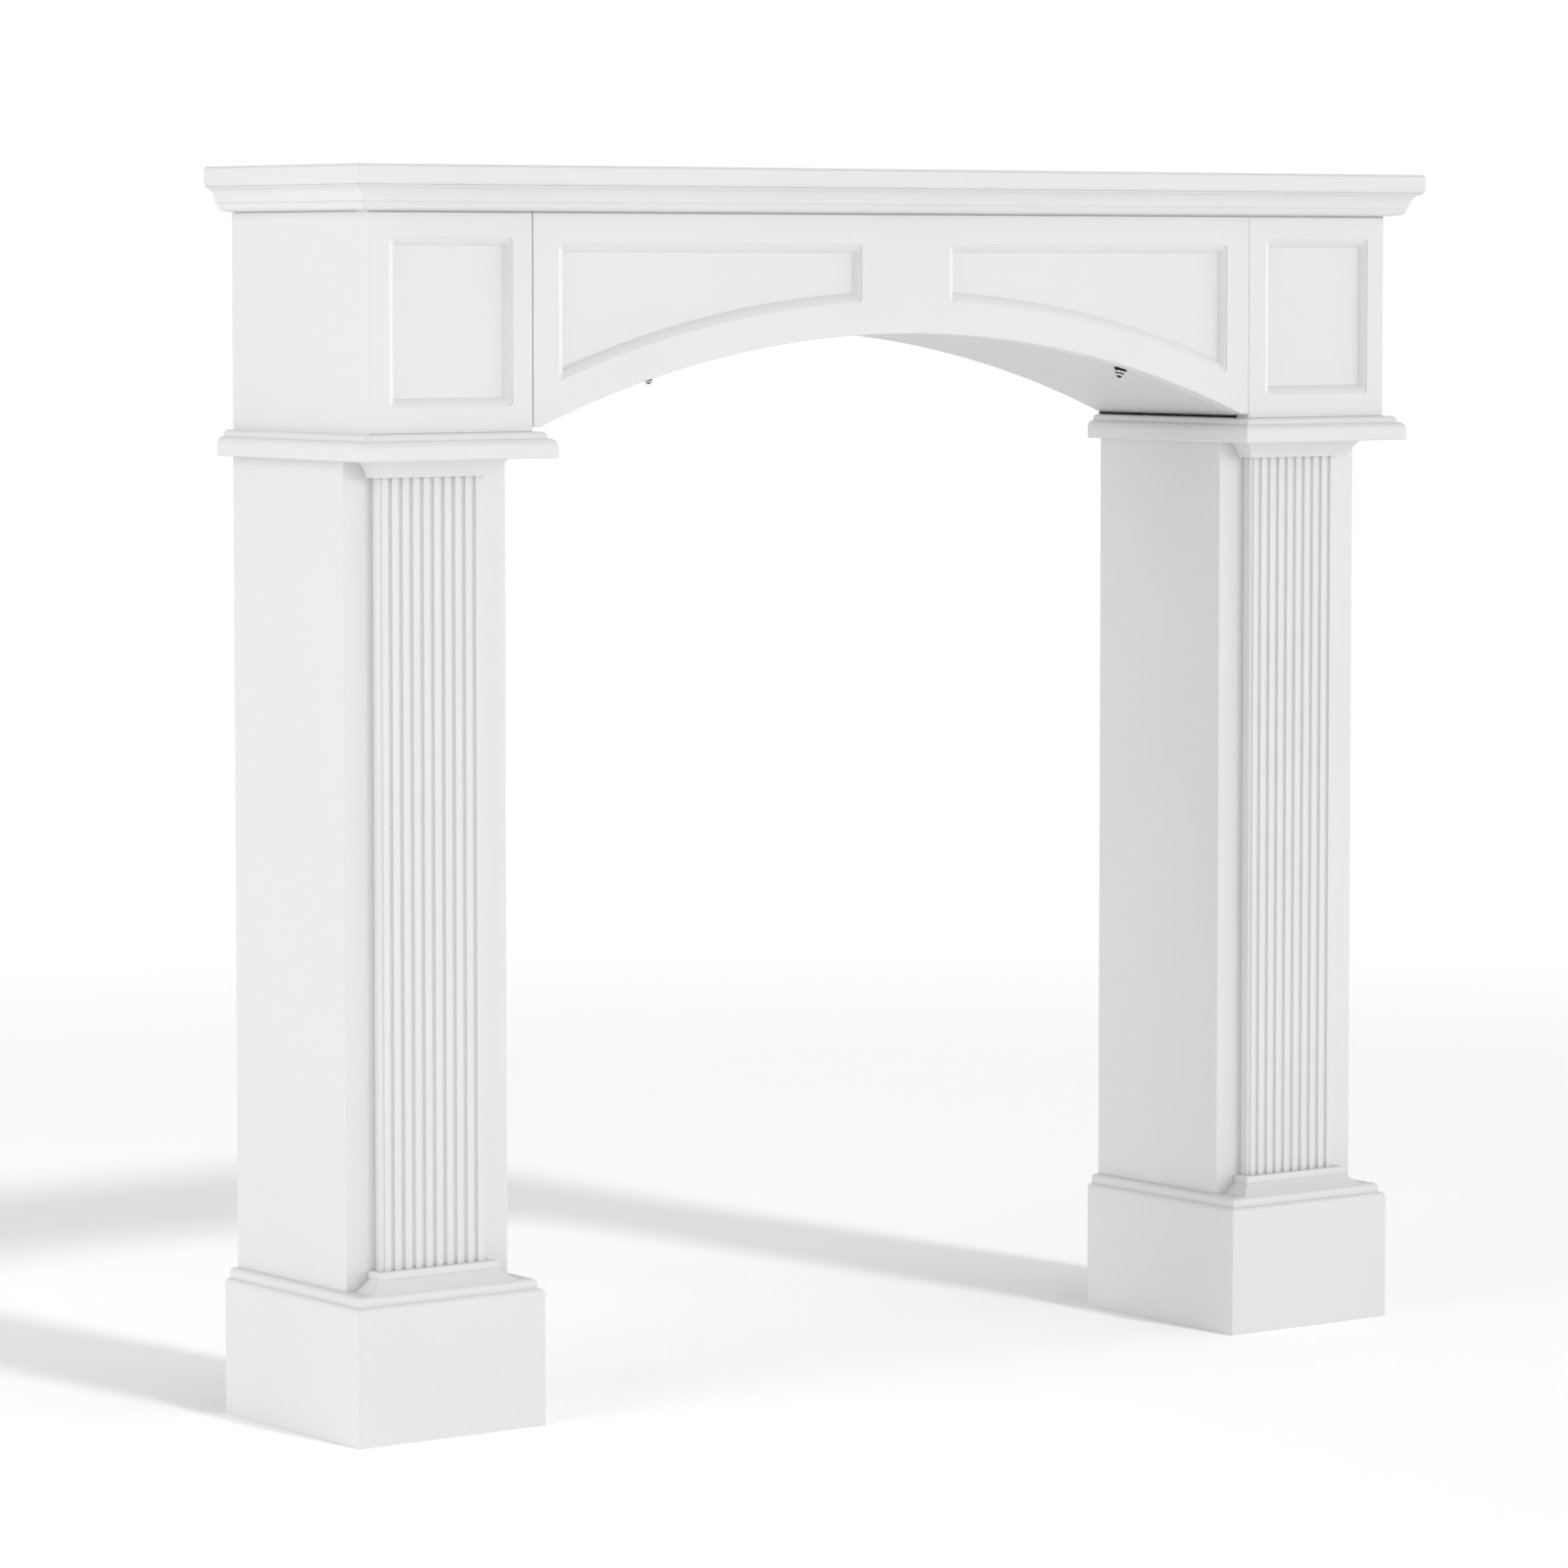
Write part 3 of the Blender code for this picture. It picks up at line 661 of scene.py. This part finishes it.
# %% [markdown]
# A thin board bent to the arch closes the beam from below, and a plain board behind gives it its rear
# edge. The bent board's outline lies between two circles about one centre, the plain one's between a
# circle and a straight top, and both are drawn straight back. The bent board's paint is a little greyer
# than the front board's: painted shade, for the shade under the beam.
#
# Where the arch comes down, a narrow gap is left over the collar. The end of the beam's inner frame
# stands in it a little way back. It is coloured near black as painted shade for the deep gap, so the gap
# shows as a fine black line.


# %% Soffit and back board
def arched_slab(node, under, over, half):
    """A board between two heights over each place across, drawn out from its front to its back."""
    low, high = span(node)
    lower = arc_to(under, -half, half)
    upper = arc_to(over, half, -half) if over else np.array([(half, high[2]), (-half, high[2])])
    outline = np.concatenate([lower, upper])
    return ring_solid([upright(outline, y) for y in (low[1], high[1])])


def together(*solids):
    """Several solids as one: all corners, all faces, and for each face the number of its solid."""
    starts = np.cumsum([0] + [len(corners) for corners, _ in solids[:-1]])
    faces = [[spot + start for spot in face] for start, (_, sides) in zip(starts, solids) for face in sides]
    origin = np.repeat(np.arange(len(solids)), [len(sides) for _, sides in solids])
    return np.concatenate([corners for corners, _ in solids]), faces, origin


def gap_shade_block(way, low_y, high_y):
    """The end of the inner frame in the gap over the collar: a low block from front to back, coloured near
    black as painted shade.
    """
    inner, outer = way * (soffit_end - END_LAP), way * half_width
    bottom, top = foot - JOINT, foot + GAP_SHOWN
    rectangle = np.array([(inner, bottom), (inner, top), (outer, top), (outer, bottom)])
    return ring_solid([upright(rectangle, y) for y in (low_y, high_y)])


SOFFIT_SHADED_TONE, SOFFIT_SHADED_DRIFT = (0.655, 0.655, 0.655), (0.64, 0.64, 0.64)
GAP_SHADE_TONE, GAP_SHADE_DRIFT, GAP_ROUGHNESS = (0.012, 0.012, 0.012), (0.02, 0.02, 0.02), 0.85
GAP_SHOWN, SET_UP, SOFFIT_THICK = 0.0016, 0.001, 0.004
END_MORE, END_LAP, END_INSIDE, REAR_INSIDE = 0.0025, 0.001, 0.0005, 0.0001
# The soffit's tone is a little greyer than the boards' white: painted shade for the shade under the beam.
soffit_painted_shade = paint("satin_white_on_soffit", SOFFIT_SHADED_TONE, SOFFIT_SHADED_DRIFT, DULLER, SPRAYED)
# Near black for the block in the gap over the collar: painted shade for the deep gap.
gap_painted_shade = paint("painted_shade_in_gap", GAP_SHADE_TONE, GAP_SHADE_DRIFT, GAP_ROUGHNESS, ROUGH)
under_soffit, over_soffit = RADIUS + SET_UP, RADIUS + SET_UP + SOFFIT_THICK
soffit_low, soffit_high = span("curved_soffit")
soffit_end = soffit_high[0] + END_MORE
bent = arched_slab("curved_soffit", under_soffit, over_soffit, soffit_end)
ends = [gap_shade_block(way, soffit_low[1] + END_INSIDE, BACK - END_INSIDE) for way in (-1, 1)]
corners, faces, origin = together(bent, *ends)
soffit = make_piece("bent_soffit", corners, faces, (soffit_painted_shade, gap_painted_shade), np.minimum(origin, 1))
dress(soffit, "curved_soffit")
rear_half = soffit_high[0] - REAR_INSIDE
corners, faces = arched_slab("arched_back_board", over_soffit + JOINT, None, rear_half)
dress(make_piece("rear_board", corners, faces, (first_coat,)), "arched_back_board")

# %% [markdown]
# Two domed metal nuts hold the bent board. A nut is a circle of points carried along a section: a short
# collar, a narrow groove, then a dome. It leans with the slope of the arch at its place. The nut is
# near-black metal with two rings of bright metal on the dome: painted reflections, the dark and bright
# rings that a polished dome shows.


# %% Domed nuts under the soffit
DULLED, TURNED = 260.0, 4000.0  # blobs to the metre
DULLED_SHARE, METAL_SHEEN, TURNED_SHEEN = 0.8, 0.24, 0.16
METAL_RELIEF, METAL_RELIEF_HEIGHT = 0.3, 0.00005


def metal(name, tone):
    """Plated metal: a grey that drifts a little, with a fine turned relief."""
    finish = Finish(name)
    place = finish.place()
    patch = finish.noise(place, DULLED, 1.0)
    dulled = DULLED_SHARE * tone
    colour = finish.blend(patch, (tone, tone, tone, 1.0), (dulled, dulled, dulled, 1.0))
    grain = finish.noise(place, TURNED)
    bump = {"Strength": METAL_RELIEF, "Distance": METAL_RELIEF_HEIGHT, "Height": grain}
    relief = finish.node("ShaderNodeBump", values=bump)
    roughness = METAL_SHEEN + TURNED_SHEEN * grain
    finish.feed(finish.shader, {"Base Color": colour, "Roughness": roughness, "Normal": relief})
    finish.shader.inputs["Metallic"].default_value = 1.0
    return finish.material


# Bright and near-black metal for the nuts' painted reflections.
nut_metals = (metal("steel_painted_bright_reflection", 0.9), metal("steel_painted_dark_reflection", 0.02))
NUT_FROM_MIDDLE, NUT_COLLAR, NUT_HEIGHT, DOME_INSET = 0.246, 0.002, 0.0084, 0.0014
COLLAR_EASE, GROOVE_IN, GROOVE_DEEP = 0.0004, 0.0011, 0.0008
PAINTED_BRIGHT_RINGS = ((1, 3), (5, 7))


def domed_nut(node, across=48):
    """A nut under the soffit: a collar, a narrow groove, and a dome whose section is a quarter ellipse."""
    low, high = span(node)
    middle = (low + high) / 2
    lean = np.arcsin(np.sign(middle[0]) * NUT_FROM_MIDDLE / under_soffit)
    radius = (high[1] - low[1]) / 2
    seat = under_soffit - radius**2 / (2 * under_soffit)
    collar = [(radius, 0.0), (radius, NUT_COLLAR - COLLAR_EASE), (radius - COLLAR_EASE, NUT_COLLAR)]
    groove = [(radius - GROOVE_IN, NUT_COLLAR), (radius - GROOVE_IN, NUT_COLLAR - GROOVE_DEEP)]
    dome = quarter((0.0, NUT_COLLAR), radius - DOME_INSET, NUT_HEIGHT - NUT_COLLAR, 0, 80, 12)
    section = np.concatenate([collar, groove, dome])
    turn = np.linspace(0.0, 2 * np.pi, across, endpoint=False)
    beside = section[:, :1] * np.cos(turn)
    distance = seat - section[:, 1:]
    rings = np.zeros((len(section), across, 3))
    rings[..., 0] = distance * np.sin(lean) + beside * np.cos(lean)
    rings[..., 1] = middle[1] + section[:, :1] * np.sin(turn)
    rings[..., 2] = CENTRE_Z + distance * np.cos(lean) - beside * np.sin(lean)
    # Every face gets the near-black metal except two rings of the dome, which get the bright metal: painted
    # reflections.
    dark, dome_start = np.ones(len(section) - 1, int), len(collar) + len(groove)
    for first, last in PAINTED_BRIGHT_RINGS:
        dark[dome_start + first : dome_start + last] = 0
    metal_of_face = [*np.repeat(dark, across), 1, 1]
    nut = make_piece(node.replace("fixing", "nut"), *ring_solid(rings), nut_metals, metal_of_face)
    return dress(nut, node, slot="steel")


for side in SIDES:
    domed_nut(f"{side}_soffit_fixing")

# %% [markdown]
# ## Cornice and shelf
#
# The cornice is one profile mitred round the beam: a hollow under the shelf, a flat step, and a small
# round. Its top edge lies under the rounding of the shelf's lower edge, and the narrow groove between
# them draws the fine dark line under the shelf. The shelf is a flat board with softly rounded edges.


# %% Cornice
COVE_REACH, COVE_HEIGHT, COVE_TOP = 0.0084, 0.010, 0.0008
STEP_HEIGHT, STEP_BACK, BEAD_REACH, BEAD_HEIGHT = 0.0014, 0.0017, 0.0038, 0.0063


def cornice_profile(low, high, core):
    """(outward, height) pairs from the top edge down, outward from the beam's face."""
    tall, reach = high[2] - low[2], core[1] - low[1]
    cove_foot = tall - COVE_TOP - COVE_HEIGHT
    cove = quarter((reach, cove_foot), COVE_REACH, COVE_HEIGHT, 90, 180, 14)
    step, bead_top = reach - COVE_REACH, cove_foot - STEP_HEIGHT
    bead = quarter((step - STEP_BACK - BEAD_REACH, bead_top), BEAD_REACH, BEAD_HEIGHT, 0, -90, 10)
    top = [(JOINT, tall + JOINT), (reach, tall + JOINT)]
    return np.concatenate([top, cove, [(step, bead_top)], bead, [(JOINT, 0.0)]])


cornice_nodes = ["cornice_front", "cornice_left_return", "cornice_right_return"]
low, high = span(*cornice_nodes)
path, mitre = round_three_sides(beam_low, beam_high, MITRE_EASE, MITRE_STEPS)
profile = cornice_profile(low, high, beam_low)
dress(stack("cornice_run", carried(profile, path, mitre, low[2]), (run_paint,)), *cornice_nodes)

# %% Shelf
low, high = span("mantel_shelf")
SHELF_ROUND, SHELF_CORNER = 0.003, 0.002
shelf_edge = rounded_under(SHELF_ROUND, SHELF_ROUND) + rounded_up(SHELF_ROUND, SHELF_ROUND, high[2] - low[2])
plate("shelf_board", shelf_edge, low, high, ["mantel_shelf"], SHELF_CORNER)

# %% [markdown]
# ## Floor, light and camera
#
# The photograph has a white ground that runs into a white background. A wide pale floor under an even
# white sky does the same. The mouldings there hardly shade each other, so the light on the paint is broad
# and low: an even sky, two wide suns from the right that leave the left-facing slopes of the panels a
# little darker, and a panel and a narrow sun from the left for the outer sides. The shadow on the ground
# is yet quite crisp. A light that draws it would also put dark bands under the shelf, so that one light
# reaches the floor alone.
#
# The camera's place, turn and lens were solved together with the object's proportions, from about forty
# corners and edges of the photograph.


# %% Floor
FLOOR_TONE, FLOOR_DRIFT = (0.95, 0.95, 0.95, 1.0), (0.935, 0.935, 0.935, 1.0)
FADE_FROM, FADE_TO = 1.9, 4.2


def floor_piece(half=12.0):
    """A wide pale floor that thins out into the white of the sky; it isn't part of the object."""
    finish = Finish("pale_floor")
    place = finish.place()
    tone = finish.noise(place, 0.8, 2.0)
    colour = finish.blend(tone, FLOOR_TONE, FLOOR_DRIFT)
    finish.feed(finish.shader, {"Base Color": colour, "Roughness": 0.9, "Specular IOR Level": 0.0})
    away = finish.node("ShaderNodeVectorMath", {"operation": "LENGTH"}, {0: place}, output="Value")
    clear = finish.node("ShaderNodeBsdfTransparent")
    shown = Wire(finish, finish.shader.outputs["BSDF"])
    amount = away.smooth(FADE_FROM, FADE_TO)
    faded = finish.node("ShaderNodeMixShader", values={"Fac": amount, 1: shown, 2: clear})
    surface = finish.tree.nodes["Material Output"].inputs["Surface"]
    finish.tree.links.new(faded.socket, surface)
    mesh = bpy.data.meshes.new("studio_floor")
    spots = [(-half, -half, 0.0), (half, -half, 0.0), (half, half, 0.0), (-half, half, 0.0)]
    mesh.from_pydata(spots, [], [[0, 1, 2, 3]])
    mesh.materials.append(finish.material)
    made = bpy.data.objects.new("studio_floor", mesh)
    bpy.context.scene.collection.objects.link(made)
    return made


floor = floor_piece()
print("the floor thins out from", FADE_FROM, "to", FADE_TO, "m")


# %% Light
def studio_sky(light, seen):
    """An even white sky: one strength as light, another where the camera looks straight into it."""
    world = bpy.data.worlds.new("studio_sky")
    world.use_nodes = True
    bpy.context.scene.world = world
    links, nodes = world.node_tree.links, world.node_tree.nodes
    background = nodes["Background"]
    background.inputs["Color"].default_value = (1.0, 1.0, 1.0, 1.0)
    rays = nodes.new("ShaderNodeLightPath")
    choose = nodes.new("ShaderNodeMapRange")
    choose.inputs["To Min"].default_value = light
    choose.inputs["To Max"].default_value = seen
    links.new(rays.outputs["Is Camera Ray"], choose.inputs["Value"])
    links.new(choose.outputs["Result"], background.inputs["Strength"])


def lamp(name, kind, travel, strength, spread=None, size=None, stand=None):
    """A light that shines along a direction."""
    light = bpy.data.lights.new(name, kind)
    light.energy = strength
    if spread is not None:
        light.angle = np.radians(spread)
    if size is not None:
        light.shape, light.size, light.size_y = "RECTANGLE", size[0], size[1]
    made = bpy.data.objects.new(name, light)
    made.rotation_euler = Vector(travel).to_track_quat("-Z", "Y").to_euler()
    if stand is not None:
        made.location = stand
    made.visible_camera = False
    bpy.context.scene.collection.objects.link(made)
    return made


def only_on(light, receiver):
    """Let a light reach one object only. Everything else still throws its shadow there."""
    group = bpy.data.collections.new("lit_by_" + light.name)
    group.objects.link(receiver)
    light.light_linking.receiver_collection = group


SKY_LIGHT, SKY_SEEN = 0.635, 1.05
studio_sky(SKY_LIGHT, SKY_SEEN)
lamp("front_right", "SUN", (-0.6, 1.0, -0.15), 0.75, spread=30.0)
lamp("right_fill", "SUN", (-1.0, 0.3, -0.08), 1.18, spread=40.0)
lamp("left_side", "SUN", (1.0, -0.12, -0.1), 0.24, spread=12.0)
lamp("left_panel", "AREA", (2.5, 0.3, -0.9), 27.5, size=(2.0, 2.0), stand=(-3.0, -0.3, 1.5))
only_on(lamp("floor_light", "SUN", (-0.145, 1.2, -1.0), 1.2, spread=6.0), floor)
bpy.context.scene.view_settings.view_transform = "Standard"
print("lights:", [light.name for light in bpy.data.lights])

# %% Camera
LENS_PIXELS, PHOTO_PIXELS, SENSOR = 6536.276, 1600, 36.0
YAW, PITCH, SHIFT = 36.6037, -3.9286, -0.05
EYE = (-3.2195, -4.366 + BACK, 0.9217)
camera = bpy.data.cameras.new("camera")
camera.sensor_width = SENSOR
camera.lens = LENS_PIXELS / PHOTO_PIXELS * SENSOR
camera.shift_y = SHIFT
camera.clip_end = 200.0
yaw, pitch = np.radians([YAW, PITCH])
look = Vector((np.sin(yaw) * np.cos(pitch), np.cos(yaw) * np.cos(pitch), np.sin(pitch)))
viewer = bpy.data.objects.new("camera", camera)
viewer.location = EYE
viewer.rotation_euler = look.to_track_quat("-Z", "Y").to_euler()
bpy.context.scene.collection.objects.link(viewer)
bpy.context.scene.camera = viewer
print("camera lens", round(camera.lens, 2), "mm")
